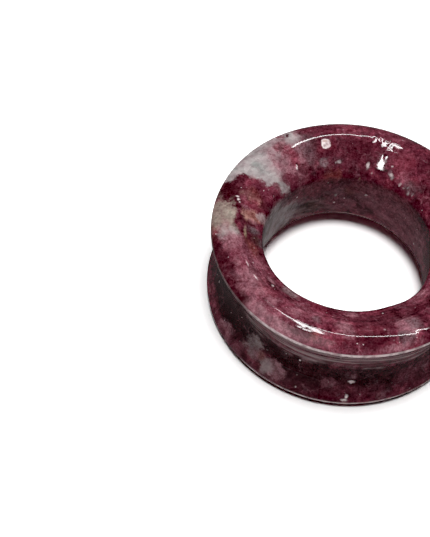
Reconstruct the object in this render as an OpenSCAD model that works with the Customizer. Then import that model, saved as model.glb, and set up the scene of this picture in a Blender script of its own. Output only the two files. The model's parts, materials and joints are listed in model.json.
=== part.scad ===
// Double-flared tunnel: one ring of polished stone, worn in a stretched ear lobe.
// It lies flat on one face, with the hole along Z and the origin at the middle of its base.

/* [Body] */
// Overall length along the hole, from the crest of one face to that of the other
overall_l = 13.2; // [12.6:0.1:16]
// Widest diameter, across the edge of either flare
flare_d = 33.5; // [32:0.1:34.5]
// Smallest outside diameter, at the middle of the saddle that the lobe sits in
saddle_d = 30; // [27:0.1:32]
// Height of the narrow land that runs round the edge of each flare
edge_land = 0.25; // [0.1:0.05:1]

/* [Faces] */
// Diameter of the crest, the highest circle of each face
crest_d = 29; // [28.2:0.1:30]
// How far the edge of a flare lies below the crest
bevel_drop = 0.85; // [0.5:0.05:1.2]

/* [Hole] */
// Diameter of the straight wall of the hole
bore_d = 19.6; // [18:0.1:21]
// Length of the straight wall of the hole
bore_l = 7.7; // [5:0.1:9]
// Radius that rounds the rim of the hole into the dished face
rim_round = 1.2; // [0.6:0.1:1.6]

/* [Hidden] */
// Fineness of the curves
$fn = 180;
// Colour of the stone
stone_colour = [0.42, 0.12, 0.21];
// Half of the length: the section is drawn about the plane midway between the faces
half_l = overall_l / 2;
flare_r = flare_d / 2;
saddle_r = saddle_d / 2;
crest_r = crest_d / 2;
bore_r = bore_d / 2;
// The polished bevel is one arc, level at the crest, that runs out to the edge of the flare
edge_z = half_l - bevel_drop;
bevel_w = flare_r - crest_r;
crest_round = (bevel_w ^ 2 + bevel_drop ^ 2) / (2 * bevel_drop);
crest_centre = [crest_r, half_l - crest_round];
// The saddle is one hollow arc between the lands of the two flares
saddle_z = edge_z - edge_land;
saddle_depth = flare_r - saddle_r;
saddle_round = (saddle_z ^ 2 + saddle_depth ^ 2) / (2 * saddle_depth);
rim_centre = [bore_r + rim_round, bore_l / 2];
// The dish is the straight line that touches the rim's circle and the crest's circle
centres = crest_centre - rim_centre;
dish_slope = atan2(centres[1], centres[0]) + asin((crest_round - rim_round) / norm(centres));
dish_normal = [-sin(dish_slope), cos(dish_slope)];
dish_inner = rim_centre + rim_round * dish_normal;
dish_outer = crest_centre + crest_round * dish_normal;

// A list of points of the section, turned over to the other face and taken backwards
function turned(points) = [for (i = [len(points) - 1 : -1 : 0]) [points[i][0], -points[i][1]]];

// Its children on one face and again on the other
module both_faces() {
    children();
    mirror([0, 0, 1]) children();
}

// The straight-sided heart of the ring, with a chord wherever the outline is round
module core() {
    outline = [[bore_r, bore_l / 2], dish_inner, dish_outer, [flare_r, edge_z]];
    rotate_extrude() polygon(concat(outline, turned(outline)));
}

// The rounded top of a face, from the dish over the crest to the edge of the flare
module crest_cap() {
    edge = [flare_r, edge_z];
    over_edge = [flare_r, overall_l];
    over_dish = [dish_outer[0], overall_l];
    rotate_extrude()
    intersection() {
        translate(crest_centre) circle(crest_round);
        polygon([crest_centre, edge, over_edge, over_dish, dish_outer]);
    }
}

// The rounded rim of the hole
module rim() {
    rotate_extrude() translate(rim_centre) circle(rim_round);
}

// The hollow that the lobe sits in
module saddle_cut() {
    rotate_extrude() translate([saddle_r + saddle_round, 0]) circle(saddle_round);
}

module tunnel() {
    color(stone_colour)
    translate([0, 0, half_l])
    difference() {
        union() {
            core();
            both_faces() {
                crest_cap();
                rim();
            }
        }
        saddle_cut();
    }
}

tunnel();
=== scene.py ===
"""Looks of the stone flesh tunnel: one hand-ground, polished ring of mottled stone, lying flat."""

import json
import math
from collections import namedtuple

import bmesh
import bpy
from mathutils import Matrix, Vector, noise


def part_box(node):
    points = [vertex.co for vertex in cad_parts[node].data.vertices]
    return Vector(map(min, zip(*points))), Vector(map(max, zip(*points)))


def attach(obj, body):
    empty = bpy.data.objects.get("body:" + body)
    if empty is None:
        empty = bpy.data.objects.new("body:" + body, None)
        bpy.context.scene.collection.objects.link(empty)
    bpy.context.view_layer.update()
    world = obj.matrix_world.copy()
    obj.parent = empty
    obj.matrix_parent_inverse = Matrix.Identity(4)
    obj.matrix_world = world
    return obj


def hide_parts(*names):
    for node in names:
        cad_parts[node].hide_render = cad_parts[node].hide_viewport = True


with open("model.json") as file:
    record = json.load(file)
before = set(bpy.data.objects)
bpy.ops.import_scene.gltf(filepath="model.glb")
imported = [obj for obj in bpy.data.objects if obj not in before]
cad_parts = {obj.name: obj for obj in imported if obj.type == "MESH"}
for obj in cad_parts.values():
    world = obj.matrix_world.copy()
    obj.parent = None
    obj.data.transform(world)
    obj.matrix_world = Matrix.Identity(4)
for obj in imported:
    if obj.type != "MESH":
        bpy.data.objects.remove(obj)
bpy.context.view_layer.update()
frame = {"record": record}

MM = 0.001

# Camera, matched to the outlines of both flares and of the hole in the photograph
PHOTO_HEIGHT_PX = 537
SENSOR_MM = 36.0
FOCAL_PX = 1200.0
CAMERA_ELEVATION = 56.64
CAMERA_ROLL = 4.86
CAMERA_DISTANCE = 144.5 * MM
CAMERA_CLIP_START = 10 * MM
# The middle of the picture falls to the left of the ring and a little in front of it
AIM = Vector((-15.73, -2.86, 6.6)) * MM

# Sizes of the ring in mm: the outer ones are the frame's and the hole's are its mount's
lowest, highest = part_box("tunnel")
FLARE_R = (highest.x - lowest.x) / 2 / MM
HALF_L = (highest.z - lowest.z) / 2 / MM
bore = next(m for m in frame["record"]["mounts"] if m["name"] == "bore")
BORE_R = bore["dims"]["r_mm"]
BORE_HALF = bore["dims"]["length_mm"] / 2
# These repeat the part's source
SADDLE_R = 15.0
CREST_R = 14.5
BEVEL_DROP = 0.85
EDGE_LAND = 0.25
RIM_ROUND = 1.2
# How far the softening of a flare's edge reaches over its bevel and over the saddle
EDGE_SOFTENING = 0.2

# How finely the mesh is made: the steps round the ring, and along each stretch of its section
AROUND = 680
Steps = namedtuple("Steps", "wall rim dish crest edge saddle")
UPPER_STEPS = Steps(14, 7, 16, 26, 5, 22)
LOWER_STEPS = Steps(10, 5, 6, 10, 5, 16)

# Section of the ring


def arc(centre, radius, start, end, steps):
    """Points of an arc in the section plane; angles in radians."""
    points = []
    for i in range(steps + 1):
        a = start + (end - start) * i / steps
        points.append((centre[0] + radius * math.cos(a), centre[1] + radius * math.sin(a)))
    return points


def rounded_edge(above, corner, below, steps):
    """Points of the flare's softened edge, which bulges from above towards its corner and back to below."""
    points = []
    for i in range(1, steps):
        t = i / steps
        points.append(tuple(above.lerp(corner, t).lerp(corner.lerp(below, t), t)))
    return points


def half_section(rim_round=RIM_ROUND, steps=UPPER_STEPS):
    """The outline from the middle of the wall, over the face, to the middle of the saddle."""
    bevel_w = FLARE_R - CREST_R
    crest_round = (bevel_w**2 + BEVEL_DROP**2) / (2 * BEVEL_DROP)
    crest = Vector((CREST_R, HALF_L - crest_round))
    rim = Vector((BORE_R + RIM_ROUND, BORE_HALF))
    gap = crest - rim
    slope = math.atan2(gap.y, gap.x) + math.asin((crest_round - RIM_ROUND) / gap.length)
    edge_z = HALF_L - BEVEL_DROP
    saddle_z = edge_z - EDGE_LAND
    depth = FLARE_R - SADDLE_R
    saddle_round = (saddle_z**2 + depth**2) / (2 * depth)
    saddle = (SADDLE_R + saddle_round, 0.0)

    rounder = rim_round - RIM_ROUND
    rim += Vector((rounder, rounder * (math.tan(slope) - 1 / math.cos(slope))))
    points = [(BORE_R, rim.y * i / steps.wall) for i in range(steps.wall)]
    points += arc(rim, rim_round, math.pi, math.pi / 2 + slope, steps.rim)
    dish_start = Vector(points[-1])
    edge_angle = math.atan2(edge_z - crest.y, bevel_w) + EDGE_SOFTENING / crest_round
    crest_arc = arc(crest, crest_round, math.pi / 2 + slope, edge_angle, steps.crest)
    dish_end = Vector(crest_arc[0])
    points += [tuple(dish_start.lerp(dish_end, i / steps.dish)) for i in range(1, steps.dish)]
    points += crest_arc
    saddle_angle = math.atan2(saddle_z, FLARE_R - saddle[0]) + EDGE_SOFTENING / saddle_round
    saddle_arc = arc(saddle, saddle_round, saddle_angle, math.pi, steps.saddle)
    land = Vector((FLARE_R, edge_z - EDGE_LAND / 2))
    points += rounded_edge(Vector(crest_arc[-1]), land, Vector(saddle_arc[0]), steps.edge)
    points += saddle_arc
    return points


def full_section(rim_round=RIM_ROUND):
    """The closed outline, both faces, as radius and height above the surface that the ring lies on."""
    upper = half_section(rim_round)
    lower = [(r, -z) for r, z in reversed(half_section(RIM_ROUND, LOWER_STEPS)[1:-1])]
    return [(r, z + HALF_L) for r, z in upper + lower]


# Hand-ground shape

# The hole's upper rim is worn to this radius, in mm, round this azimuth, as far as it reaches in degrees
WORN_RIM_ROUND = 2.7
WORN_RIM_AZIMUTH = 90
WORN_RIM_REACH = 110

# Where the hole was ground wider: azimuth and reach in degrees, and how far in mm
Wear = namedtuple("Wear", "azimuth reach depth")
HOLE_WEAR = (
    Wear(198, 62, 0.62),
    Wear(318, 24, 0.34),
)
# The mouth of the hole at the bottom is wider all round, most at this height
MOUTH_WEAR = 0.38
MOUTH_HEIGHT = 1.6
MOUTH_REACH = 3.0
# The wear of the hole dies away over the face, up to this radius
WEAR_END_R = CREST_R - 1.5
# Where the crest runs further out
CREST_WANDER = (
    Wear(95, 80, 0.22),
    Wear(302, 26, 0.48),
)

# Unevenness left by grinding: its depth in mm, how many waves to the mm, and where its noise starts
Unevenness = namedtuple("Unevenness", "depth scale start")
UNEVENNESS = (
    Unevenness(0.025, 0.14, (3.1, 0.2, 7.7)),
    Unevenness(0.006, 0.42, (1.7, 5.2, 0.4)),
    Unevenness(0.001, 1.30, (0.0, 0.0, 0.0)),
)

# Dents: azimuth in degrees, radius and how far they reach in mm, and their depth
Dent = namedtuple("Dent", "azimuth radius reach depth")
DENTS = (
    Dent(122, 15.6, 0.36, 0.16),
    Dent(223, 12.2, 0.34, 0.14),
    Dent(201, 15.2, 0.30, 0.10),
    Dent(205, 15.5, 0.25, 0.08),
    Dent(213, 16.2, 0.40, 0.06),
    Dent(91, 14.2, 12.0, 0.120),
    Dent(66, 14.2, 6.0, 0.045),
    Dent(63, 14.2, 2.6, 0.030),
    Dent(85, 14.0, 1.6, 0.028),
    Dent(81, 13.9, 1.6, 0.024),
    Dent(77, 13.9, 1.6, 0.026),
    Dent(73, 13.9, 1.6, 0.026),
    Dent(69, 13.9, 1.6, 0.026),
    Dent(65, 13.9, 1.6, 0.022),
)
# Rippled places, where the polish breaks its reflections up, and how many ripples there are to the mm
RIPPLES = (
    Dent(75, 13.8, 2.3, 0.026),
    Dent(73, 12.8, 1.0, 0.010),
    Dent(73, 11.6, 1.3, 0.006),
    Dent(248, 14.7, 1.4, 0.002),
    Dent(250, 15.1, 0.8, 0.003),
    Dent(298, 14.6, 1.3, 0.012),
    Dent(103, 14.2, 3.4, 0.003),
)
RIPPLE_SCALE = 1.9
# The dents and ripples are only above this height, and fade out this near to the edge, in mm
RELIEF_BOTTOM = 2 * HALF_L - 3 * BEVEL_DROP
RELIEF_FADE = 1.3


def turn_between(a, b):
    """The angle between two azimuths, 0 to 180 degrees."""
    return abs((a - b + 180) % 360 - 180)


def swell(away, reach):
    """1 at no distance, falling smoothly to 0 at reach."""
    t = min(abs(away) / reach, 1.0)
    return (1 - t * t) ** 2


def wear_at(azimuth, places):
    """How far the listed places are worn at an azimuth, all together."""
    return sum(w.depth * swell(turn_between(azimuth, w.azimuth), w.reach) for w in places)


def hole_wear(azimuth, radius, height):
    """How far outward the stone round the hole was ground away."""
    inward = min(max((WEAR_END_R - radius) / (WEAR_END_R - BORE_R), 0.0), 1.0)
    if inward == 0.0:
        return 0.0
    worn = wear_at(azimuth, HOLE_WEAR)
    worn += MOUTH_WEAR * swell(height - MOUTH_HEIGHT, MOUTH_REACH)
    return worn * inward**0.5


def crest_wander(azimuth, radius, height):
    """How far outward the crest of the upper face runs."""
    if height < HALF_L or radius < BORE_R + RIM_ROUND:
        return 0.0
    return swell(radius - CREST_R, FLARE_R - CREST_R) * wear_at(azimuth, CREST_WANDER)


def ground_off(p):
    """How far hand grinding leaves a point below the true form, in mm."""
    return sum(u.depth * (1 + noise.noise(p * u.scale + Vector(u.start))) for u in UNEVENNESS)


def face_relief(p):
    """Depth of the dents and ripples at a point of the upper face; they end short of its edge."""
    total = 0.0
    inside = min(max((FLARE_R - math.hypot(p.x, p.y)) / RELIEF_FADE, 0.0), 1.0)
    for spot in DENTS + RIPPLES:
        a = math.radians(spot.azimuth)
        away = math.hypot(p.x - spot.radius * math.cos(a), p.y - spot.radius * math.sin(a))
        if away < spot.reach:
            depth = spot.depth * swell(away, spot.reach)
            if spot in RIPPLES:
                depth *= 1 + noise.noise(p * RIPPLE_SCALE)
            total += depth
    return total * inside


def ground_point(azimuth, i, section, worn_section):
    """The i-th point of the section at an azimuth, as hand grinding left it."""
    c = math.cos(math.radians(azimuth))
    s = math.sin(math.radians(azimuth))
    before, after = section[i - 1], section[(i + 1) % len(section)]
    inward = Vector((after[1] - before[1], before[0] - after[0])).normalized()
    rim_worn = swell(turn_between(azimuth, WORN_RIM_AZIMUTH), WORN_RIM_REACH)
    r, z = (true + (worn - true) * rim_worn for true, worn in zip(section[i], worn_section[i]))
    p = Vector((r * c, r * s, z))
    off = ground_off(p)
    if z > RELIEF_BOTTOM:
        off += face_relief(p)
    p += Vector((inward.x * c, inward.x * s, inward.y)) * off
    p += Vector((c, s, 0.0)) * (hole_wear(azimuth, r, z) + crest_wander(azimuth, r, z))
    return p


def object_from(bm, name):
    """Makes a finished bmesh an object of the scene."""
    mesh = bpy.data.meshes.new(name)
    bm.to_mesh(mesh)
    bm.free()
    made = bpy.data.objects.new(name, mesh)
    bpy.context.scene.collection.objects.link(made)
    return made


def make_ring():
    section = full_section()
    worn_section = full_section(WORN_RIM_ROUND)
    count = len(section)
    bm = bmesh.new()
    outlines = []
    for j in range(AROUND):
        azimuth = 360.0 * j / AROUND
        points = [ground_point(azimuth, i, section, worn_section) for i in range(count)]
        outlines.append([bm.verts.new(p * MM) for p in points])
    for this, other in zip(outlines, outlines[1:] + outlines[:1]):
        for i in range(count):
            k = (i + 1) % count
            bm.faces.new((this[i], other[i], other[k], this[k]))
    bmesh.ops.recalc_face_normals(bm, faces=bm.faces)
    made = object_from(bm, "stone_ring")
    for f in made.data.polygons:
        f.use_smooth = True
    return made


# Node helpers

# A noise: how many waves to the mm, how many finer layers it has, and how strong those are
Pattern = namedtuple("Pattern", "scale detail roughness")
# A noise that moves places: how many waves to the mm, how far it moves them in mm, and its finer layers,
# which are equally strong in all of them
Warp = namedtuple("Warp", "scale amount detail")
WARP_ROUGHNESS = 0.55
# A smooth change: the values where it starts and ends, and what it goes from and to
Change = namedtuple("Change", "low high to_low to_high", defaults=(0.0, 1.0))


def node(tree, kind, inputs=(), **settings):
    """Adds a node; inputs maps a socket's name or number to a value or to another node's output."""
    made = tree.nodes.new(kind)
    for name, value in settings.items():
        setattr(made, name, value)
    for name, value in dict(inputs).items():
        plug(tree, made.inputs[name], value)
    return made


def plug(tree, socket, value):
    if isinstance(value, bpy.types.NodeSocket):
        tree.links.new(value, socket)
    else:
        socket.default_value = value


def calc(tree, operation, *values):
    return node(tree, "ShaderNodeMath", dict(enumerate(values)), operation=operation).outputs[0]


def vector_calc(tree, operation, a, b=(0, 0, 0), output="Vector"):
    second = "Scale" if operation == "SCALE" else 1
    return node(tree, "ShaderNodeVectorMath", {0: a, second: b}, operation=operation).outputs[output]


def step(tree, value, low, high, to_low=0.0, to_high=1.0):
    """Takes value smoothly from to_low at low to to_high at high."""
    inputs = {"Value": value, "From Min": low, "From Max": high, "To Min": to_low, "To Max": to_high}
    return node(tree, "ShaderNodeMapRange", inputs, interpolation_type="SMOOTHSTEP").outputs["Result"]


def window(tree, value, low, high, soft):
    """1 where value lies between low and high, with soft ends."""
    rise = step(tree, value, low - soft, low + soft)
    fall = step(tree, value, high - soft, high + soft, 1.0, 0.0)
    return calc(tree, "MULTIPLY", rise, fall)


def cloud(tree, place, pattern, output="Fac"):
    inputs = {
        "Vector": place,
        "Scale": pattern.scale,
        "Detail": pattern.detail,
        "Roughness": pattern.roughness,
    }
    return node(tree, "ShaderNodeTexNoise", inputs).outputs[output]


def shifted(tree, place, warp, read_at=None):
    """Places moved about by up to roughly the warp's amount, by a noise read at read_at or at the place."""
    pattern = Pattern(warp.scale, warp.detail, WARP_ROUGHNESS)
    drift = cloud(tree, place if read_at is None else read_at, pattern, output="Color")
    drift = vector_calc(tree, "SUBTRACT", drift, (0.5,) * 3)
    return vector_calc(tree, "ADD", place, vector_calc(tree, "MULTIPLY", drift, (2 * warp.amount,) * 3))


def mix(tree, factor, a, b):
    made = node(tree, "ShaderNodeMix", data_type="RGBA")
    for name, value in (("Factor", factor), ("A", a), ("B", b)):
        if isinstance(value, tuple):
            value = (*value, 1.0)
        plug(tree, next(s for s in made.inputs if s.name == name and s.enabled), value)
    return next(s for s in made.outputs if s.enabled)


def ramp(tree, value, stops):
    """A colour band; stops are (place, colour) in scene-linear colour."""
    made = node(tree, "ShaderNodeValToRGB", {"Fac": value})
    band = made.color_ramp
    while len(band.elements) > 1:
        band.elements.remove(band.elements[-1])
    for i, (place, colour) in enumerate(stops):
        stop = band.elements[0] if i == 0 else band.elements.new(place)
        stop.position = place
        stop.color = (*colour, 1.0)
    return made.outputs["Color"]


def new_material(name):
    """A material without any nodes yet."""
    material = bpy.data.materials.new(name)
    material.use_nodes = True
    material.node_tree.nodes.clear()
    return material


# Stone

# Tones of the stone, in scene-linear colour
BLACK_WINE = (0.044, 0.009, 0.012)
WINE = (0.092, 0.021, 0.031)
BURGUNDY = (0.155, 0.034, 0.053)
ROSE = (0.220, 0.045, 0.067)
MAUVE = (0.245, 0.075, 0.102)
PINK = (0.325, 0.140, 0.170)
RUST = (0.240, 0.070, 0.065)
PEACH = (0.500, 0.250, 0.215)
UMBER = (0.075, 0.035, 0.032)
TAN = (0.330, 0.240, 0.170)
CREAM = (0.330, 0.255, 0.220)
ASH = (0.455, 0.396, 0.398)
MOSS = (0.270, 0.280, 0.270)
SMOKE = (0.150, 0.105, 0.115)
CHALK = (0.950, 0.800, 0.800)
LILAC = (0.260, 0.140, 0.170)
# The next tone is a scuffed grey; in the band under the lip it is partly a painted reflection
SCUFFED_AND_SHEEN = (0.430, 0.325, 0.330)

# Markings: azimuth in degrees from +X, radius or height above the surface in mm, how far they reach
# and how soft their edge is in mm, their shape, tone and strength. Round ones reach as far each way;
# long ones and streaks further along the ring, broad and tall ones further across it.
FaceMark = namedtuple("FaceMark", "azimuth radius reach edge shape tone strength")
FACE_MARKS = (
    # The grey-white vein and its pink border
    FaceMark(127, 14.5, 2.5, 0.6, "broad", PINK, 0.75),
    FaceMark(133, 11.8, 1.6, 0.5, "round", PINK, 0.75),
    FaceMark(121, 15.4, 0.8, 0.4, "broad", ASH, 0.80),
    FaceMark(115, 12.9, 1.1, 0.8, "broad", SMOKE, 0.50),
    FaceMark(145, 15.3, 2.3, 0.2, "long", ASH, 1.00),
    FaceMark(135, 15.8, 1.8, 0.5, "round", ASH, 0.95),
    FaceMark(145, 12.9, 1.7, 0.2, "round", ASH, 1.00),
    FaceMark(139, 13.2, 1.8, 0.7, "round", ASH, 0.60),
    FaceMark(141, 11.0, 1.3, 0.3, "round", ASH, 0.85),
    FaceMark(145, 13.9, 0.5, 0.4, "broad", MOSS, 0.55),
    FaceMark(137, 12.2, 1.0, 0.6, "broad", PINK, 0.45),
    FaceMark(131, 14.2, 1.5, 0.8, "broad", PINK, 0.55),
    FaceMark(137, 16.4, 0.9, 0.4, "long", ASH, 0.70),
    FaceMark(128.5, 14.6, 0.8, 0.4, "round", ROSE, 0.65),
    FaceMark(134.5, 12.3, 0.4, 0.3, "broad", MAUVE, 0.50),
    FaceMark(125, 12.9, 0.7, 0.3, "broad", ROSE, 0.85),
    FaceMark(135, 10.7, 0.8, 0.3, "long", BURGUNDY, 0.85),
    FaceMark(122, 11.2, 0.8, 0.3, "round", WINE, 0.75),
    # The dark lobe beside it
    FaceMark(162, 14.9, 2.1, 0.2, "round", WINE, 1.00),
    FaceMark(164, 15.6, 0.8, 0.3, "round", BLACK_WINE, 0.75),
    FaceMark(166, 14.6, 0.9, 0.4, "round", BLACK_WINE, 0.60),
    FaceMark(150, 16.3, 1.1, 0.2, "long", ASH, 1.00),
    FaceMark(157, 12.6, 1.7, 0.2, "round", BURGUNDY, 0.90),
    FaceMark(154, 13.6, 0.7, 0.3, "round", ROSE, 0.50),
    FaceMark(156.3, 11.4, 0.8, 0.2, "round", WINE, 0.60),
    FaceMark(159, 12.6, 0.5, 0.4, "broad", RUST, 0.55),
    FaceMark(163, 12.2, 0.7, 0.5, "broad", PEACH, 0.45),
    FaceMark(151, 11.0, 0.9, 0.2, "long", BURGUNDY, 0.90),
    FaceMark(151, 10.6, 0.6, 0.3, "round", BLACK_WINE, 0.55),
    FaceMark(162, 10.7, 0.7, 0.3, "long", WINE, 0.90),
    # Orange-pink, and the cream patch at the left
    FaceMark(168, 12.2, 1.1, 0.5, "round", ROSE, 0.80),
    FaceMark(165, 13.4, 0.4, 0.3, "long", MAUVE, 0.60),
    FaceMark(174, 12.0, 1.0, 0.4, "round", PEACH, 0.95),
    FaceMark(177, 11.7, 0.3, 0.25, "broad", PINK, 0.80),
    FaceMark(170.5, 12.7, 0.3, 0.2, "broad", PINK, 0.60),
    FaceMark(173, 11.3, 0.6, 0.3, "broad", RUST, 0.75),
    FaceMark(171, 10.8, 0.7, 0.3, "round", SCUFFED_AND_SHEEN, 0.75),
    FaceMark(180, 14.9, 1.1, 0.3, "long", CREAM, 1.00),
    FaceMark(176.5, 15.0, 1.0, 0.3, "round", CREAM, 0.90),
    FaceMark(186, 14.6, 1.0, 0.4, "round", CREAM, 0.80),
    FaceMark(184, 15.4, 0.9, 0.6, "round", PINK, 0.50),
    FaceMark(189, 14.6, 1.1, 0.5, "round", ASH, 0.60),
    FaceMark(178, 16.3, 0.9, 0.4, "long", CREAM, 0.85),
    FaceMark(188, 16.5, 0.5, 0.3, "long", RUST, 0.50),
    # Dark brown with a tan vein, then mauve
    FaceMark(186, 12.2, 1.0, 0.3, "round", WINE, 0.90),
    FaceMark(190, 11.3, 0.9, 0.4, "round", UMBER, 0.85),
    FaceMark(186, 12.6, 0.16, 0.12, "streak", TAN, 0.95),
    FaceMark(183, 11.6, 0.6, 0.4, "round", SMOKE, 0.75),
    FaceMark(196, 12.1, 0.9, 0.3, "long", WINE, 0.80),
    FaceMark(196, 12.2, 0.8, 0.4, "long", RUST, 0.55),
    FaceMark(191, 10.5, 0.5, 0.3, "long", SMOKE, 0.70),
    FaceMark(197, 14.3, 1.7, 0.6, "round", MAUVE, 1.00),
    FaceMark(193, 14.2, 1.0, 0.7, "round", PINK, 0.80),
    FaceMark(208, 13.7, 1.6, 0.6, "long", MAUVE, 0.75),
    FaceMark(210, 14.9, 0.9, 0.5, "long", BURGUNDY, 0.70),
    # Painted shade: the next two dark marks darken the left bevel as if in shadow
    FaceMark(202, 15.9, 0.7, 0.4, "long", WINE, 0.90),
    FaceMark(206, 15.4, 0.5, 0.3, "round", BLACK_WINE, 0.70),
    FaceMark(204, 14.5, 0.5, 0.3, "round", PINK, 0.65),
    FaceMark(219, 14.0, 1.3, 0.8, "long", PINK, 0.85),
    FaceMark(224, 13.0, 0.9, 0.5, "long", ROSE, 0.60),
    FaceMark(230, 15.2, 1.2, 0.5, "long", MAUVE, 0.80),
    FaceMark(230, 14.4, 0.7, 0.4, "round", PINK, 0.80),
    # Painted shade: the next seven dark marks darken the outer edge of the left bevel as if in shadow
    FaceMark(195.5, 16.5, 0.8, 0.4, "long", WINE, 0.90),
    FaceMark(203, 16.5, 0.9, 0.4, "long", BLACK_WINE, 0.90),
    FaceMark(212, 16.5, 0.8, 0.4, "long", WINE, 0.90),
    FaceMark(217.5, 16.4, 0.6, 0.3, "long", BLACK_WINE, 0.80),
    FaceMark(206, 16.7, 0.9, 0.4, "streak", BLACK_WINE, 0.95),
    FaceMark(210, 16.2, 0.7, 0.4, "streak", WINE, 0.80),
    FaceMark(222, 16.1, 0.45, 0.25, "long", BLACK_WINE, 0.85),
    FaceMark(217, 15.3, 0.6, 0.4, "long", PINK, 0.60),
    FaceMark(227, 15.5, 0.5, 0.3, "long", PINK, 0.75),
    FaceMark(218.5, 11.8, 0.35, 0.2, "long", PINK, 0.95),
    FaceMark(223, 12.3, 0.40, 0.2, "long", BLACK_WINE, 0.80),
    # Painted highlights: a glint in the pit, and two short pale dashes near the crest
    FaceMark(222.6, 12.2, 0.18, 0.08, "round", CHALK, 1.00),
    FaceMark(206.3, 13.5, 0.07, 0.06, "streak", CHALK, 0.80),
    FaceMark(215.3, 13.5, 0.07, 0.06, "streak", CHALK, 0.80),
    FaceMark(209, 11.9, 0.9, 0.5, "long", MAUVE, 0.70),
    FaceMark(228, 12.4, 0.6, 0.3, "long", WINE, 0.60),
    FaceMark(231.5, 11.0, 0.5, 0.5, "long", ASH, 0.45),
    # The near side
    FaceMark(243, 12.9, 1.2, 0.8, "long", MAUVE, 0.60),
    FaceMark(242, 13.4, 0.7, 0.5, "round", PINK, 0.55),
    FaceMark(229, 16.1, 0.6, 0.3, "long", PINK, 0.95),
    FaceMark(237, 16.1, 0.9, 0.4, "long", PINK, 0.95),
    FaceMark(245, 16.4, 0.6, 0.3, "long", PINK, 0.90),
    FaceMark(252, 16.2, 0.6, 0.4, "long", MAUVE, 0.75),
    FaceMark(266, 16.3, 0.5, 0.4, "long", MAUVE, 0.60),
    FaceMark(284, 16.3, 0.5, 0.4, "long", MAUVE, 0.60),
    FaceMark(247, 15.4, 0.7, 0.3, "long", WINE, 0.75),
    FaceMark(255, 15.2, 0.5, 0.3, "round", RUST, 0.60),
    FaceMark(252, 12.3, 0.8, 0.5, "long", MAUVE, 0.55),
    FaceMark(252, 13.3, 0.5, 0.4, "round", SMOKE, 0.55),
    FaceMark(258, 15.3, 0.6, 0.3, "round", MAUVE, 0.60),
    FaceMark(266, 13.1, 0.8, 0.5, "round", PINK, 0.70),
    FaceMark(268, 14.2, 0.8, 0.4, "round", PINK, 0.55),
    FaceMark(264, 15.3, 0.6, 0.3, "long", ROSE, 0.70),
    FaceMark(271, 10.9, 0.4, 0.3, "long", PINK, 0.80),
    FaceMark(258, 10.9, 0.6, 0.4, "long", WINE, 0.70),
    FaceMark(250, 11.0, 0.6, 0.4, "long", ROSE, 0.60),
    FaceMark(283, 12.2, 1.1, 0.4, "long", WINE, 0.90),
    FaceMark(290, 12.6, 0.8, 0.4, "long", WINE, 0.75),
    FaceMark(278, 13.6, 0.7, 0.5, "long", ROSE, 0.60),
    FaceMark(280, 15.2, 1.0, 0.3, "long", WINE, 0.95),
    FaceMark(297, 14.0, 1.2, 0.6, "round", PINK, 0.90),
    FaceMark(300, 14.0, 0.8, 0.5, "round", SMOKE, 0.55),
    FaceMark(290, 16.1, 0.35, 0.2, "streak", PINK, 0.70),
    FaceMark(293, 15.4, 0.8, 0.4, "round", SMOKE, 0.60),
    FaceMark(306, 12.2, 0.9, 0.3, "long", WINE, 0.80),
    FaceMark(316, 11.0, 0.8, 0.4, "long", MAUVE, 0.80),
    FaceMark(320, 10.8, 0.4, 0.3, "long", PINK, 0.60),
    # The far side
    FaceMark(100, 12.4, 1.8, 0.8, "long", WINE, 0.55),
    FaceMark(86, 12.2, 1.5, 0.6, "long", WINE, 0.65),
    FaceMark(103, 12.9, 0.6, 0.3, "round", ROSE, 0.60),
    FaceMark(108, 11.2, 0.6, 0.3, "round", SMOKE, 0.85),
    FaceMark(105, 10.2, 0.6, 0.3, "long", BLACK_WINE, 0.80),
    FaceMark(90, 10.2, 0.6, 0.3, "round", BLACK_WINE, 0.85),
    FaceMark(98, 10.0, 0.5, 0.3, "round", RUST, 0.50),
    FaceMark(79.8, 11.0, 0.35, 0.3, "round", LILAC, 0.70),
    # Pale specks round the hole, partly the stone's own and partly painted glints, and painted glints at
    # the left
    FaceMark(63.5, 10.9, 0.22, 0.12, "long", CHALK, 0.70),
    FaceMark(55.3, 10.4, 0.20, 0.08, "round", CHALK, 0.75),
    FaceMark(47, 10.2, 0.20, 0.1, "round", ASH, 0.80),
    FaceMark(79.8, 10.95, 0.18, 0.14, "broad", CHALK, 0.85),
    FaceMark(98.5, 11.1, 0.18, 0.12, "long", ASH, 0.90),
    FaceMark(100.5, 11.0, 0.10, 0.08, "round", ASH, 0.80),
    FaceMark(76, 10.35, 0.16, 0.07, "round", CHALK, 1.00),
    FaceMark(83.4, 9.8, 0.18, 0.10, "round", TAN, 0.90),
    FaceMark(65, 11.1, 0.20, 0.12, "round", LILAC, 0.80),
    FaceMark(62, 10.7, 0.22, 0.12, "round", ASH, 0.75),
    FaceMark(59, 10.4, 0.12, 0.08, "round", PINK, 0.80),
    FaceMark(52, 10.3, 0.10, 0.08, "long", CHALK, 0.70),
    FaceMark(49.5, 10.6, 0.10, 0.08, "round", ASH, 0.80),
    FaceMark(44, 10.3, 0.12, 0.08, "broad", ASH, 0.75),
    FaceMark(93, 11.5, 0.12, 0.10, "broad", MAUVE, 0.75),
    FaceMark(108, 12.7, 0.5, 0.3, "round", ROSE, 0.55),
    FaceMark(126.4, 11.45, 0.13, 0.08, "round", CHALK, 0.95),
    FaceMark(125.6, 11.7, 0.09, 0.06, "broad", CHALK, 0.90),
    FaceMark(167.9, 13.95, 0.14, 0.08, "round", CHALK, 0.95),
    FaceMark(166.5, 14.2, 0.08, 0.06, "broad", CHALK, 0.90),
    FaceMark(169.3, 13.7, 0.10, 0.06, "round", CHALK, 0.90),
    # The rest of the far side and the right
    FaceMark(84, 10.3, 0.6, 0.3, "long", WINE, 0.85),
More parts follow.
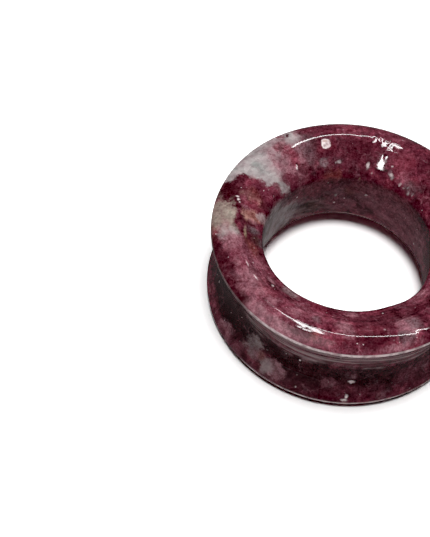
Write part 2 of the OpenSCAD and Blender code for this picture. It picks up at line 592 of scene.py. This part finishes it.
    FaceMark(92, 15.9, 0.9, 0.4, "long", ROSE, 0.60),
    FaceMark(70, 15.6, 0.8, 0.4, "long", MAUVE, 0.50),
    FaceMark(60, 12.6, 1.4, 0.6, "round", ROSE, 0.70),
    FaceMark(56, 11.2, 0.7, 0.4, "round", MAUVE, 0.70),
    FaceMark(47, 10.8, 0.7, 0.4, "long", SMOKE, 0.50),
    # The round crystal
    FaceMark(105, 13.3, 0.60, 0.07, "round", CHALK, 1.00),
    FaceMark(104.3, 13.15, 0.20, 0.15, "round", ROSE, 0.55),
    FaceMark(105.8, 13.05, 0.15, 0.12, "round", PINK, 0.75),
    FaceMark(105.2, 13.6, 0.14, 0.12, "long", PEACH, 0.80),
    FaceMark(102.6, 13.3, 0.16, 0.12, "broad", PINK, 0.80),
    # Pits on the pale vein
    FaceMark(122, 15.85, 0.32, 0.08, "round", BLACK_WINE, 1.00),
    FaceMark(122.3, 15.9, 0.12, 0.06, "round", ASH, 0.80),
    FaceMark(125, 11.9, 0.16, 0.10, "broad", BLACK_WINE, 0.80),
    FaceMark(121.5, 11.5, 0.20, 0.12, "round", BLACK_WINE, 0.80),
    FaceMark(118, 10.9, 0.22, 0.12, "long", BLACK_WINE, 0.75),
)

SideMark = namedtuple("SideMark", "azimuth height reach edge shape tone strength")
SADDLE_MARKS = (
    # Dark ground and pale clouds of the near side
    # Painted shade: the next two near-black marks darken the saddle at the left as if in shadow
    SideMark(203, 5.6, 3.2, 0.6, "long", BLACK_WINE, 1.00),
    SideMark(222, 6.0, 2.0, 0.5, "long", BLACK_WINE, 0.85),
    SideMark(237, 5.4, 1.3, 0.4, "long", BLACK_WINE, 0.80),
    SideMark(256, 4.8, 2.0, 0.6, "long", BLACK_WINE, 0.85),
    SideMark(285, 5.0, 1.9, 0.6, "long", BLACK_WINE, 0.85),
    SideMark(250, 2.4, 1.0, 0.4, "long", WINE, 0.70),
    SideMark(228, 4.0, 1.0, 0.3, "tall", SCUFFED_AND_SHEEN, 0.60),
    SideMark(230, 3.0, 0.8, 0.3, "round", PINK, 0.50),
    SideMark(240, 2.6, 1.3, 0.3, "round", PINK, 0.95),
    SideMark(237, 2.4, 0.8, 0.4, "round", SCUFFED_AND_SHEEN, 0.80),
    SideMark(212, 1.8, 1.2, 0.3, "round", PINK, 0.75),
    SideMark(210, 1.2, 0.7, 0.3, "round", BURGUNDY, 0.70),
    SideMark(221, 1.5, 0.8, 0.4, "round", MAUVE, 0.70),
    SideMark(233, 3.2, 0.5, 0.3, "round", RUST, 0.70),
    SideMark(265, 3.6, 0.8, 0.3, "round", MAUVE, 0.80),
    SideMark(266, 3.2, 0.25, 0.15, "round", PINK, 0.80),
    SideMark(262, 1.9, 1.0, 0.5, "long", WINE, 0.80),
    SideMark(288, 1.6, 0.5, 0.3, "round", PINK, 0.60),
    SideMark(300, 3.4, 1.2, 0.5, "round", BURGUNDY, 0.70),
    # Small bright specks
    SideMark(274.3, 4.0, 0.20, 0.08, "long", CHALK, 1.00),
    SideMark(275, 5.0, 0.30, 0.2, "tall", PINK, 0.60),
    SideMark(273.4, 1.9, 0.18, 0.08, "tall", CHALK, 1.00),
    SideMark(272.4, 1.5, 0.16, 0.08, "long", CHALK, 1.00),
    SideMark(250.4, 6.0, 0.10, 0.05, "round", CHALK, 1.00),
    # The sides that the photograph hides
    SideMark(140, 6.6, 3.4, 0.5, "round", ASH, 0.85),
    SideMark(20, 5.6, 2.4, 0.8, "round", PINK, 0.70),
    SideMark(68, 8.0, 2.2, 0.7, "round", MAUVE, 0.80),
    SideMark(98, 4.0, 2.6, 0.6, "long", WINE, 0.80),
    SideMark(330, 6.4, 2.2, 0.7, "round", MAUVE, 0.70),
    SideMark(352, 8.6, 1.6, 0.4, "long", BLACK_WINE, 0.70),
)
WALL_MARKS = (
    # From the pale left, round the far side, to the right
    SideMark(155, 7.0, 3.6, 0.8, "round", ASH, 0.95),
    SideMark(170, 8.0, 2.6, 0.8, "round", ASH, 0.80),
    SideMark(138, 5.0, 1.8, 0.8, "long", SMOKE, 0.30),
    SideMark(140, 9.2, 1.1, 0.5, "long", BURGUNDY, 0.70),
    SideMark(126, 8.6, 1.4, 0.6, "long", ROSE, 0.85),
    SideMark(130, 6.7, 0.9, 0.6, "long", SMOKE, 0.50),
    SideMark(114, 4.9, 1.6, 0.6, "long", UMBER, 0.85),
    SideMark(97, 5.0, 1.3, 0.7, "long", MAUVE, 0.60),
    SideMark(88, 8.3, 1.2, 0.6, "long", BLACK_WINE, 0.30),
    SideMark(103, 10.0, 1.0, 0.4, "long", RUST, 0.55),
    SideMark(112, 8.7, 1.4, 0.5, "long", ROSE, 0.85),
    SideMark(95, 8.8, 1.2, 0.5, "long", BURGUNDY, 0.80),
    SideMark(88, 7.6, 0.5, 0.4, "long", RUST, 0.70),
    SideMark(78, 8.5, 1.4, 0.5, "long", ROSE, 0.85),
    SideMark(62, 8.6, 1.6, 0.6, "long", ROSE, 0.80),
    SideMark(45, 8.7, 1.5, 0.6, "long", ROSE, 0.70),
    SideMark(70, 6.6, 0.5, 0.3, "long", PINK, 0.60),
    SideMark(95, 7.7, 0.4, 0.3, "long", PINK, 0.40),
    SideMark(60, 7.2, 2.4, 0.9, "long", MAUVE, 0.75),
    SideMark(47, 4.2, 0.35, 0.15, "round", PINK, 0.80),
    SideMark(35, 6.0, 3.2, 0.9, "long", MAUVE, 0.75),
    SideMark(76, 7.4, 0.22, 0.10, "round", CHALK, 0.80),
    SideMark(98, 6.6, 0.20, 0.15, "round", ASH, 0.60),
)

# Mean radius that turns an azimuth into a length along the ring
MEAN_R = 13.5
# A marking goes this many times deeper into the stone than it reaches over its surface
MARK_DEPTH = 2.5
# How many times their reach the markings of each shape go along the ring, and across it
SHAPES = {
    "round": (1.0, 1.0),
    "long": (2.0, 1.0),
    "broad": (1.0, 2.0),
    "tall": (1.0, 1.6),
    "streak": (5.0, 1.0),
}
# A marking's outline wobbles by a noise, which is read at bent places to be less regular
OUTLINE_BEND = Warp(1.1, 0.50, 3.0)
OUTLINE_WOBBLE = Warp(2.4, 0.14, 4.0)
# It is also frayed, over this many mm in all
FRAY = Pattern(0.85, 6.0, 0.66)
FRAY_WIDTH = 2.6
# A marking is frayed less where its reach, or this many times its edge, is under 1 mm
FRAY_BY_EDGE = 4.0

Coords = namedtuple("Coords", "place x y height radius turned")


def face_height(radius):
    """Height of the upper face above the surface, by radius."""
    face = half_section()[UPPER_STEPS.wall:-UPPER_STEPS.saddle]
    return min(face, key=lambda p: abs(p[0] - radius))[1] + HALF_L


def saddle_radius(height):
    """Radius of the saddle, by height above the surface."""
    saddle = half_section()[-UPPER_STEPS.saddle:]
    return min(saddle, key=lambda p: abs(p[1] - abs(height - HALF_L)))[0]


def coordinates(tree, place):
    """A place in mm, also as length along the ring, radius and height."""
    x, y, height = node(tree, "ShaderNodeSeparateXYZ", {0: place}).outputs
    turn = calc(tree, "ARCTAN2", calc(tree, "MULTIPLY", y, -1.0), calc(tree, "MULTIPLY", x, -1.0))
    along = calc(tree, "MULTIPLY_ADD", turn, MEAN_R, math.pi * MEAN_R)
    flat = node(tree, "ShaderNodeCombineXYZ", {0: x, 1: y}).outputs[0]
    radius = vector_calc(tree, "LENGTH", flat, output="Value")
    turned = node(tree, "ShaderNodeCombineXYZ", {0: along, 1: radius, 2: height}).outputs[0]
    return Coords(place, x, y, height, radius, turned)


def placed_marks():
    """Every marking with the kind of surface that it is on, and its radius and height there."""
    marks = [(m, "face", (m.radius, face_height(m.radius))) for m in FACE_MARKS]
    marks += [(m, "side", (saddle_radius(m.height), m.height)) for m in SADDLE_MARKS]
    return marks + [(m, "side", (BORE_R, m.height)) for m in WALL_MARKS]


def mark_spaces():
    """How the turned places shrink so that a marking is round there, by kind of surface and shape."""
    spaces = {}
    for shape, (along, across) in SHAPES.items():
        spaces["face", shape] = (1 / along, 1 / across, 1 / MARK_DEPTH)
        spaces["side", shape] = (1 / along, 1 / MARK_DEPTH, 1 / across)
    return spaces


def add_markings(tree, place, colour):
    """Mixes the charted markings into a colour."""
    bent = shifted(tree, place, OUTLINE_BEND)
    coords = coordinates(tree, shifted(tree, place, OUTLINE_WOBBLE, read_at=bent))
    channels = node(tree, "ShaderNodeSeparateColor", {"Color": cloud(tree, place, FRAY, output="Color")})
    frayed = [calc(tree, "MULTIPLY_ADD", c, FRAY_WIDTH, -FRAY_WIDTH / 2) for c in channels.outputs]
    spaces = mark_spaces()
    places = {key: vector_calc(tree, "MULTIPLY", coords.turned, scale) for key, scale in spaces.items()}
    for i, (mark, side, (radius, height)) in enumerate(placed_marks()):
        key = side, mark.shape
        centre = (math.radians(mark.azimuth) * MEAN_R, radius, height)
        centre = tuple(c * s for c, s in zip(centre, spaces[key]))
        away = vector_calc(tree, "DISTANCE", places[key], centre, output="Value")
        uneven = min(1.0, mark.reach, FRAY_BY_EDGE * mark.edge)
        away = calc(tree, "MULTIPLY_ADD", frayed[i % 3], uneven, away)
        part = step(tree, away, mark.reach - mark.edge, mark.reach + mark.edge, mark.strength, 0.0)
        colour = mix(tree, part, colour, mark.tone)
    return colour


# Clouding of the bare stone: broad patches and finer clouds, how far each sways the tone, how far the
# whole is darkened, and the tones along the band
MOTTLING_WARP = Warp(0.5, 1.5, 4.0)
BROAD_PATCHES = Pattern(0.30, 2.0, 0.55)
BROAD_SWAY = 0.8
FINE_CLOUDS = Pattern(0.95, 6.0, 0.68)
FINE_SWAY = 1.3
DARKENED = 0.03
MOTTLING_TONES = (
    (0.10, BLACK_WINE),
    (0.24, WINE),
    (0.44, BURGUNDY),
    (0.62, ROSE),
    (0.86, MAUVE),
)


def mottling(tree, place):
    """The stone's own dark clouding, from patches of several mm down to its grain."""
    warped = shifted(tree, place, MOTTLING_WARP)
    broad = cloud(tree, warped, BROAD_PATCHES)
    fine = cloud(tree, warped, FINE_CLOUDS)
    value = calc(tree, "MULTIPLY_ADD", broad, BROAD_SWAY, -DARKENED)
    value = calc(tree, "ADD", value, calc(tree, "MULTIPLY_ADD", fine, FINE_SWAY, -FINE_SWAY / 2))
    return ramp(tree, value, MOTTLING_TONES)


# Milky clouds: their noise, and how strong they are by its value
MILK_WARP = Warp(1.1, 0.5, 3.0)
MILK = Pattern(0.65, 6.0, 0.66)
MILKY = Change(0.50, 0.78, 0.0, 0.35)
# Veinlets between cells: how many cells to the mm, how strong a veinlet is by the distance from it in
# cells, and the noise that says where they show
VEINLET_WARP = Warp(0.5, 1.2, 3.0)
VEINLET_CELLS = 0.42
VEINLET = Change(0.0, 0.035, 0.35, 0.0)
VEINLET_REGIONS = Pattern(0.55, 2.0, 0.55)
VEINLET_REGION = Change(0.48, 0.62)


def add_veil(tree, place, colour):
    """Milky clouds and hairline pale veinlets, in some parts of the stone only."""
    milk = cloud(tree, shifted(tree, place, MILK_WARP), MILK)
    colour = mix(tree, step(tree, milk, *MILKY), colour, LILAC)
    bent = shifted(tree, place, VEINLET_WARP)
    inputs = {"Vector": bent, "Scale": VEINLET_CELLS}
    cells = node(tree, "ShaderNodeTexVoronoi", inputs, feature="DISTANCE_TO_EDGE")
    line = step(tree, cells.outputs["Distance"], *VEINLET)
    region = step(tree, cloud(tree, place, VEINLET_REGIONS), *VEINLET_REGION)
    return mix(tree, calc(tree, "MULTIPLY", line, region), colour, PINK)


# Drifts of tone inside every marking: their noise, how far they pull red, green and blue, and the share
# of that in the palest stone
Drift = namedtuple("Drift", "pattern pull pale")
DRIFTS = (
    Drift(Pattern(0.7, 3.0, 0.6), (1.2, 1.8, 1.6), 0.60),
    Drift(Pattern(2.3, 3.0, 0.6), (1.8, 2.5, 2.4), 0.22),
    Drift(Pattern(5.5, 3.0, 0.6), (2.1, 2.7, 2.7), 0.10),
)
# The green in the darkest and in the palest stone
DARKEST_GREEN = 0.04
PALEST_GREEN = 0.34


def add_drifts(tree, place, colour):
    """Lets the tone drift between paler and redder everywhere."""
    for drift in DRIFTS:
        value = calc(tree, "SUBTRACT", cloud(tree, place, drift.pattern), 0.5)
        green = node(tree, "ShaderNodeSeparateColor", {"Color": colour}).outputs["Green"]
        share = step(tree, green, DARKEST_GREEN, PALEST_GREEN, 1.0, drift.pale)
        value = calc(tree, "MULTIPLY", value, share)
        tint = vector_calc(tree, "MULTIPLY", value, drift.pull)
        tint = vector_calc(tree, "ADD", tint, (1.0, 1.0, 1.0))
        colour = vector_calc(tree, "MULTIPLY", colour, tint)
    return colour


# Grains of the stone: how many to the mm, and how far a grain's brightness is from the next one's
Grain = namedtuple("Grain", "scale contrast")
GRAINS = (
    Grain(0.9, 0.28),
    Grain(2.1, 0.38),
)
# How many bends a grain's outline has across one grain, how far they go in grains, and their finer layers
GRAIN_BENDS = 1.3
GRAIN_BENT = 0.45
GRAIN_DETAIL = 4.0


def add_grains(tree, place, colour):
    """Gives each grain of the stone its own brightness."""
    for grain in GRAINS:
        bent = shifted(tree, place, Warp(grain.scale * GRAIN_BENDS, GRAIN_BENT / grain.scale, GRAIN_DETAIL))
        cells = node(tree, "ShaderNodeTexVoronoi", {"Vector": bent, "Scale": grain.scale})
        shade = node(tree, "ShaderNodeSeparateColor", {"Color": cells.outputs["Color"]}).outputs["Green"]
        shade = calc(tree, "MULTIPLY_ADD", shade, grain.contrast, 1 - grain.contrast / 2)
        colour = vector_calc(tree, "SCALE", colour, shade)
    return colour


# Noise drawn out along the ring: how many waves to the mm across it and along it
Streaks = namedtuple("Streaks", "across along")
STREAK_LAYERS = Pattern(1.0, 4.0, 0.6)

# At the left, by x in mm, the band under the lip and the pale edge lines fade: painted shade at the left
LEFT_SHADE = Change(-12.5, -10.5, 0.15, 1.0)

# The grey band under the lip, partly grinding marks and partly a painted reflection of the pale floor, in
# mm: outside which radius, between which heights, and how far its lower limit frays in all; then how it is
# streaked
BAND_OUTSIDE = Change(14.6, 14.8)
BAND_BOTTOM = Change(6.0, 7.6)
BAND_TOP = (12.0, 12.3)
BAND_FRAY = Pattern(0.35, 4.0, 0.55)
BAND_FRAY_WIDTH = 5.0
BAND_STREAKS = Streaks(2.2, 0.12)
BAND_LINES = Change(0.42, 0.62, 0.10, 0.85)

# Veins of the wall: how much they rise from left to right, their streaks and strength, where they end by
# radius and height in mm, and where they turn from grey to pink by x
WALL_SLANT = 0.45
WALL_STREAKS = Streaks(0.9, 0.30)
WALL_VEINS = Change(0.42, 0.66, 0.0, 0.34)
WALL_INSIDE = Change(BORE_R + 1.5, BORE_R + 2.0, 1.0, 0.0)
WALL_TOP = Change(7.0, 9.0, 1.0, 0.0)
WALL_PINK = Change(-7.0, 0.0)

# Fine rings on the near side of the dish: their streaks, the brightness that these give, and where they
# are by radius, with the softness of the ends, and by y, in mm
DISH_STREAKS = Streaks(3.0, 0.12)
DISH_SHADES = Change(0.30, 0.70, 0.65, 1.45)
DISH_RADII = (9.8, 13.2, 0.4)
DISH_NEAR = Change(-7.0, -2.0, 1.0, 0.0)

# Painted highlights along the edges of both flares, pale lines, in mm: how far from the ring's middle
# height, with the softness of the ends, and outside which radius
EDGE_MIDDLE = HALF_L - BEVEL_DROP - EDGE_LAND / 2
EDGE_HEIGHTS = (EDGE_MIDDLE - 0.17, EDGE_MIDDLE + 0.22, 0.06)
EDGE_OUTSIDE = Change(FLARE_R - 0.35, FLARE_R - 0.2)
# The pale line in the lower mouth of the hole, a painted highlight: its heights and their softness, and its
# end by radius
MOUTH_HEIGHTS = (2.0, 2.5, 0.1)
MOUTH_INSIDE = Change(BORE_R + 1.6, BORE_R + 2.0, 0.6, 0.0)
# How the pale edge lines are broken up, as by chips
CHIPS = Pattern(0.9, 5.0, 0.55)
CHIPPED = Change(0.38, 0.58, 0.4, 0.95)


def streaks(tree, coords, across, drawn):
    """Noise drawn out along the ring; across is the socket that it varies quickly along."""
    x = calc(tree, "MULTIPLY", coords.x, drawn.along)
    y = calc(tree, "MULTIPLY", coords.y, drawn.along)
    z = calc(tree, "MULTIPLY", across, drawn.across)
    place = node(tree, "ShaderNodeCombineXYZ", {0: x, 1: y, 2: z}).outputs[0]
    return cloud(tree, place, STREAK_LAYERS)


def from_middle_height(tree, coords):
    """How far a place is above or below the ring's middle height."""
    return calc(tree, "ABSOLUTE", calc(tree, "SUBTRACT", coords.height, HALF_L))


def add_lip_band_and_reflection(tree, coords, left, colour):
    """The streaky grey band under the upper lip: partly marks of the grinding, partly a painted reflection
    of the pale floor.
    """
    outside = step(tree, coords.radius, *BAND_OUTSIDE)
    lines = step(tree, streaks(tree, coords, coords.height, BAND_STREAKS), *BAND_LINES)
    fray = cloud(tree, coords.place, BAND_FRAY)
    fray = calc(tree, "MULTIPLY_ADD", fray, BAND_FRAY_WIDTH, -BAND_FRAY_WIDTH / 2)
    band = step(tree, calc(tree, "ADD", coords.height, fray), *BAND_BOTTOM)
    band = calc(tree, "MULTIPLY", band, step(tree, coords.height, *BAND_TOP, left, 0.0))
    band = calc(tree, "MULTIPLY", calc(tree, "MULTIPLY", band, outside), lines)
    return mix(tree, band, colour, SCUFFED_AND_SHEEN)


def add_wall_veins(tree, coords, colour):
    """Slanting veins on the lower part of the hole's wall, grey at the left and pink further right."""
    slant = calc(tree, "MULTIPLY_ADD", coords.x, WALL_SLANT, coords.height)
    veins = step(tree, streaks(tree, coords, slant, WALL_STREAKS), *WALL_VEINS)
    wall = step(tree, coords.radius, *WALL_INSIDE)
    wall = calc(tree, "MULTIPLY", wall, step(tree, coords.height, *WALL_TOP))
    tone = mix(tree, step(tree, coords.x, *WALL_PINK), SCUFFED_AND_SHEEN, PINK)
    return mix(tree, calc(tree, "MULTIPLY", wall, veins), colour, tone)


def add_dish_rings(tree, coords, colour):
    """Fine darker and paler rings on the near side of the dish."""
    rings = step(tree, streaks(tree, coords, coords.radius, DISH_STREAKS), *DISH_SHADES)
    dish = window(tree, coords.radius, *DISH_RADII)
    dish = calc(tree, "MULTIPLY", dish, step(tree, coords.y, *DISH_NEAR))
    shade = calc(tree, "MULTIPLY_ADD", calc(tree, "SUBTRACT", rings, 1.0), dish, 1.0)
    return vector_calc(tree, "SCALE", colour, shade)


def add_edge_highlights(tree, coords, left, colour):
    """Painted highlights: pale, chipped lines along the edges of the flares and in the lower mouth of the
    hole.
    """
    worn = window(tree, from_middle_height(tree, coords), *EDGE_HEIGHTS)
    worn = calc(tree, "MULTIPLY", worn, step(tree, coords.radius, *EDGE_OUTSIDE))
    mouth = window(tree, coords.height, *MOUTH_HEIGHTS)
    mouth = calc(tree, "MULTIPLY", mouth, step(tree, coords.radius, *MOUTH_INSIDE))
    worn = calc(tree, "MAXIMUM", worn, mouth)
    chipped = step(tree, cloud(tree, coords.place, CHIPS), *CHIPPED)
    worn = calc(tree, "MULTIPLY", calc(tree, "MULTIPLY", worn, chipped), left)
    return mix(tree, worn, colour, CHALK)


def add_grinding_and_painted_light(tree, coords, colour):
    """Traces of the hand grinding, with painted light: the reflection in the band under the lip, the
    highlights along the edges and the shade at the left.
    """
    left = step(tree, coords.x, *LEFT_SHADE)
    colour = add_lip_band_and_reflection(tree, coords, left, colour)
    colour = add_wall_veins(tree, coords, colour)
    colour = add_dish_rings(tree, coords, colour)
    return add_edge_highlights(tree, coords, left, colour)


# Glitter of mica, its sparkle painted as pale flecks: how many cells to the mm, the share of cells with a
# fleck, its size in cells
Glitter = namedtuple("Glitter", "scale share size")
GLITTER = (
    Glitter(1.5, 0.45, 0.13),
    Glitter(0.8, 0.40, 0.14),
)
GLITTER_WARP = Warp(4.0, 0.12, 3.0)
# How strong a fleck is by the distance from its outline, in cells
FLECK = Change(-0.05, 0.01, 0.9, 0.0)


def add_painted_glitter(tree, place, colour):
    """Small pale flecks, each of its own strength: painted glints of mica."""
    bent = shifted(tree, place, GLITTER_WARP)
    for glitter in GLITTER:
        cells = node(tree, "ShaderNodeTexVoronoi", {"Vector": bent, "Scale": glitter.scale})
        chosen = node(tree, "ShaderNodeSeparateColor", {"Color": cells.outputs["Color"]}).outputs
        size = step(tree, chosen["Red"], 1 - glitter.share, 1.0, 0.0, glitter.size)
        away = calc(tree, "SUBTRACT", cells.outputs["Distance"], size)
        part = step(tree, away, *FLECK)
        colour = mix(tree, calc(tree, "MULTIPLY", part, chosen["Green"]), colour, CHALK)
    return colour


# Roughness by the distance from the ring's middle height: the wall and the saddle are duller than the faces
POLISH = Change(3.4, 5.6, 0.24, 0.055)
# The worn stretch of the near bevel: where it starts by radius, how rough it is by y, and its end by x
WORN_BEVEL = Change(15.2, 15.5)
WORN_NEAR = Change(-11.0, -9.0, 0.42, 0.0)
WORN_LEFT = Change(-3.4, -0.8, 1.0, 0.0)
STONE_IOR = 1.54
# The polish leaves bumps of this pattern and this height in mm
SURFACE_BUMPS = Pattern(2.0, 3.0, 0.6)
BUMP_HEIGHT = 0.001


def polish(tree, coords):
    """Roughness of the stone: only a worn stretch of the near bevel is duller than the rest of the face."""
    roughness = step(tree, from_middle_height(tree, coords), *POLISH)
    near = step(tree, coords.y, *WORN_NEAR)
    stretch = calc(tree, "MULTIPLY", near, step(tree, coords.x, *WORN_LEFT))
    worn = calc(tree, "MULTIPLY", step(tree, coords.radius, *WORN_BEVEL), stretch)
    return calc(tree, "MAXIMUM", roughness, worn)


def stone_material():
    material = new_material("mottled_stone")
    tree = material.node_tree
    place = node(tree, "ShaderNodeTexCoord").outputs["Object"]
    place = vector_calc(tree, "MULTIPLY", place, (1 / MM,) * 3)
    coords = coordinates(tree, place)
    colour = mottling(tree, place)
    colour = add_markings(tree, place, colour)
    colour = add_veil(tree, place, colour)
    colour = add_drifts(tree, place, colour)
    colour = add_grains(tree, place, colour)
    colour = add_grinding_and_painted_light(tree, coords, colour)
    colour = add_painted_glitter(tree, place, colour)
    relief = cloud(tree, place, SURFACE_BUMPS)
    bump = node(tree, "ShaderNodeBump", {"Strength": 1.0, "Distance": BUMP_HEIGHT * MM, "Height": relief})
    shader = node(tree, "ShaderNodeBsdfPrincipled", {
        "Base Color": colour,
        "Roughness": polish(tree, coords),
        "IOR": STONE_IOR,
        "Normal": bump.outputs["Normal"],
    })
    node(tree, "ShaderNodeOutputMaterial", {"Surface": shader.outputs["BSDF"]})
    return material


# Studio

# The camera overexposes the pale floor, as in the photograph, so that only its deepest shadow shows
FLOOR_TO_CAMERA = 1.65
FLOOR_TO_STONE = 1.00
FLOOR_TO_POLISH = 0.18
# Half the floor's width, in m
FLOOR_HALF = 2.0
# Strength of the dim walls that the polish mirrors
WALL_GLOW = 0.07
# What the picture shows as black, in scene-linear light
BLACK_LEVEL = 0.013


def make_floor():
    bm = bmesh.new()
    bmesh.ops.create_grid(bm, x_segments=1, y_segments=1, size=FLOOR_HALF)
    floor = object_from(bm, "floor")
    material = new_material("pale_floor")
    tree = material.node_tree
    rays = node(tree, "ShaderNodeLightPath").outputs
    pale = mix(tree, rays["Is Glossy Ray"], (FLOOR_TO_STONE,) * 3, (FLOOR_TO_POLISH,) * 3)
    pale = mix(tree, rays["Is Camera Ray"], pale, (FLOOR_TO_CAMERA,) * 3)
    shader = node(tree, "ShaderNodeBsdfDiffuse", {"Color": pale})
    node(tree, "ShaderNodeOutputMaterial", {"Surface": shader.outputs["BSDF"]})
    floor.data.materials.append(material)


def aim_matrix(place, forward, roll):
    """Places a camera that looks along forward, turned about that line by roll degrees."""
    right = forward.cross(Vector((0, 0, 1))).normalized()
    up = right.cross(forward)
    r = math.radians(roll)
    x = right * math.cos(r) + up * math.sin(r)
    y = up * math.cos(r) - right * math.sin(r)
    return Matrix.Translation(place) @ Matrix((x, y, -forward)).transposed().to_4x4()


def make_camera():
    e = math.radians(CAMERA_ELEVATION)
    forward = Vector((0.0, math.cos(e), -math.sin(e)))
    data = bpy.data.cameras.new("camera")
    data.sensor_width = SENSOR_MM
    data.lens = FOCAL_PX * SENSOR_MM / PHOTO_HEIGHT_PX
    data.clip_start = CAMERA_CLIP_START
    camera = bpy.data.objects.new("camera", data)
    bpy.context.scene.collection.objects.link(camera)
    camera.matrix_world = aim_matrix(AIM - forward * CAMERA_DISTANCE, forward, CAMERA_ROLL)
    bpy.context.scene.camera = camera


def direction(azimuth, elevation):
    a, e = math.radians(azimuth), math.radians(elevation)
    return Vector((math.cos(a) * math.cos(e), math.sin(a) * math.cos(e), math.sin(e)))


# Lamps: the azimuth and elevation of the two ends, their width in degrees, how far they are in m,
# their radiance, and whether they are only mirrored by the polish or only light the stone
Lamp = namedtuple("Lamp", "name start end width distance radiance mirrored")
LAMPS = (
    Lamp("back_strip", (82, 57.5), (48, 64), 1.1, 1.2, 24.0, True),
    Lamp("back_bar", (84.6, 60.8), (86.6, 74.5), 3.3, 1.2, 20.0, True),
    Lamp("high_bar", (97, 76), (118, 80), 1.6, 1.2, 20.0, True),
    Lamp("top_lamp", (-136, 81), (-119, 60), 3.3, 1.2, 26.0, True),
    Lamp("soft_top", (90, 77), (-90, 77), 26.0, 0.4, 16.0, False),
)


def make_lamp(lamp):
    centre = Vector((0, 0, HALF_L * MM))
    start, end = direction(*lamp.start), direction(*lamp.end)
    away = (start + end).normalized()
    along = (end - start).normalized()
    data = bpy.data.lights.new(lamp.name, "AREA")
    data.shape = "RECTANGLE"
    data.size = 2 * lamp.distance * math.tan(start.angle(end) / 2)
    data.size_y = 2 * lamp.distance * math.tan(math.radians(lamp.width / 2))
    data.energy = lamp.radiance * math.pi * data.size * data.size_y
    light = bpy.data.objects.new(lamp.name, data)
    bpy.context.scene.collection.objects.link(light)
    turn = Matrix((along, away.cross(along), away)).transposed().to_4x4()
    light.matrix_world = Matrix.Translation(centre + away * lamp.distance) @ turn
    light.visible_glossy = lamp.mirrored
    light.visible_diffuse = not lamp.mirrored


def make_world():
    """Dim walls that the polish mirrors; the lamps alone light the stone."""
    world = bpy.data.worlds.new("studio")
    world.use_nodes = True
    background = world.node_tree.nodes["Background"]
    background.inputs["Color"].default_value = (1.0, 1.0, 1.0, 1.0)
    background.inputs["Strength"].default_value = WALL_GLOW
    world.cycles_visibility.diffuse = False
    bpy.context.scene.world = world


def set_view():
    view = bpy.context.scene.view_settings
    view.view_transform = "Standard"
    view.look = "None"
    view.exposure = 0.0
    view.use_curve_mapping = True
    view.curve_mapping.black_level = (BLACK_LEVEL,) * 3
    view.curve_mapping.update()


ring = make_ring()
ring.data.materials.append(stone_material())
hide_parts("tunnel")
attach(ring, "root")
make_floor()
make_camera()
for lamp in LAMPS:
    make_lamp(lamp)
make_world()
set_view()
